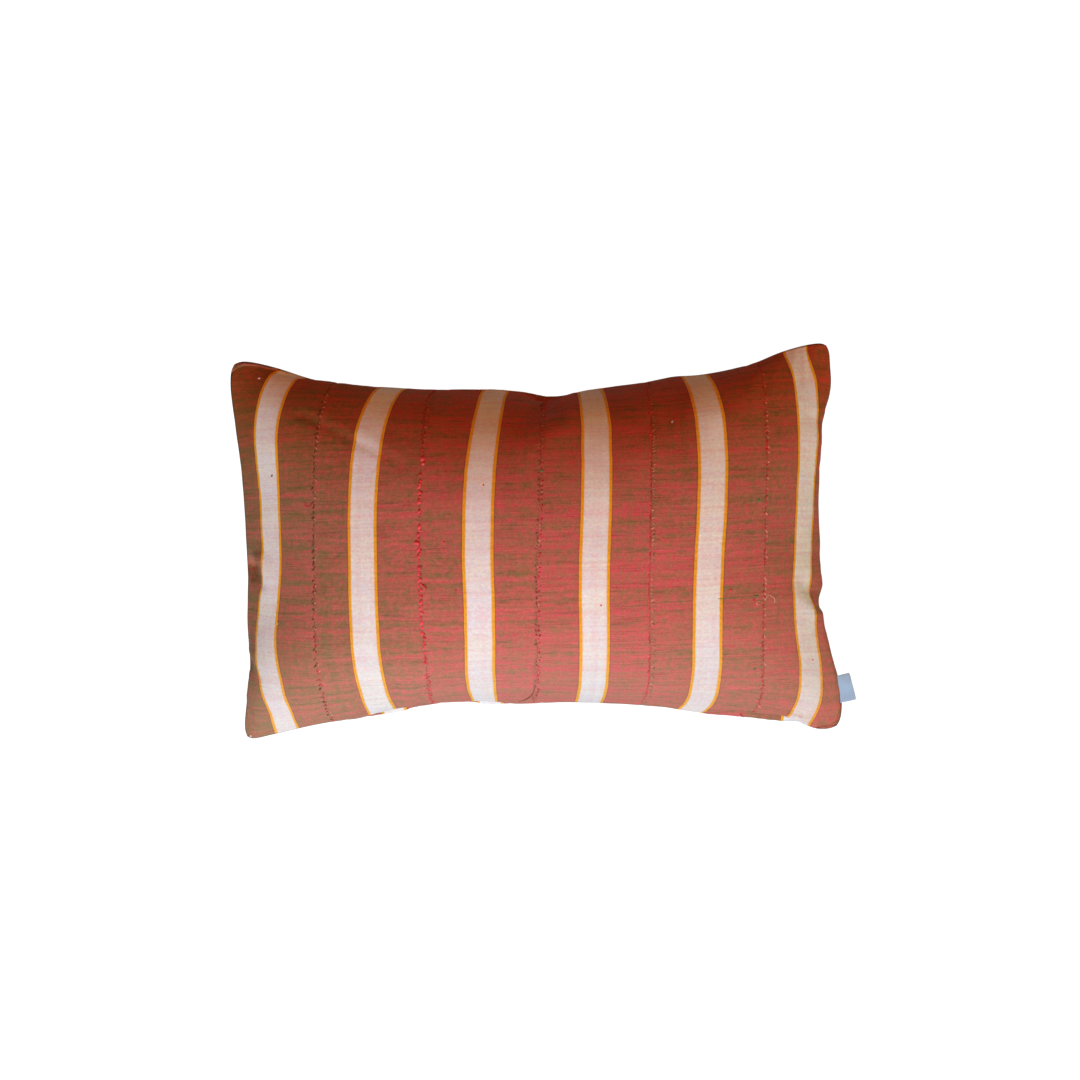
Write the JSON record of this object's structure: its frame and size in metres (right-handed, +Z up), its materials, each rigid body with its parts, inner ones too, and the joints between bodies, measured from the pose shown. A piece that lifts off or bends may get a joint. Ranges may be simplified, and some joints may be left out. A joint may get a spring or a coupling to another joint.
{
  "type": "lumbar pillow",
  "caption": "Filled lumbar pillow in a hand-woven striped cover of strips sewn edge to edge, with drawn-in sides, soft ears and a small folded side tab.",
  "frame": {"origin": "middle of the flat patch beneath the pillow, on the surface that it rests on", "axes": "+X along the pillow's length, +Y towards its upper long edge, +Z up out of its front"},
  "size_m": [0.5821, 0.3666, 0.156],
  "materials": {
    "cover_cloth": "hand-woven cotton, brick red shot with olive, white stripes edged in golden yellow",
    "tab_tape": "pale blue-grey woven tape"
  },
  "bodies": {
    "root": {"cushion": "cover_cloth", "tab": "tab_tape"}
  },
  "joints": []
}
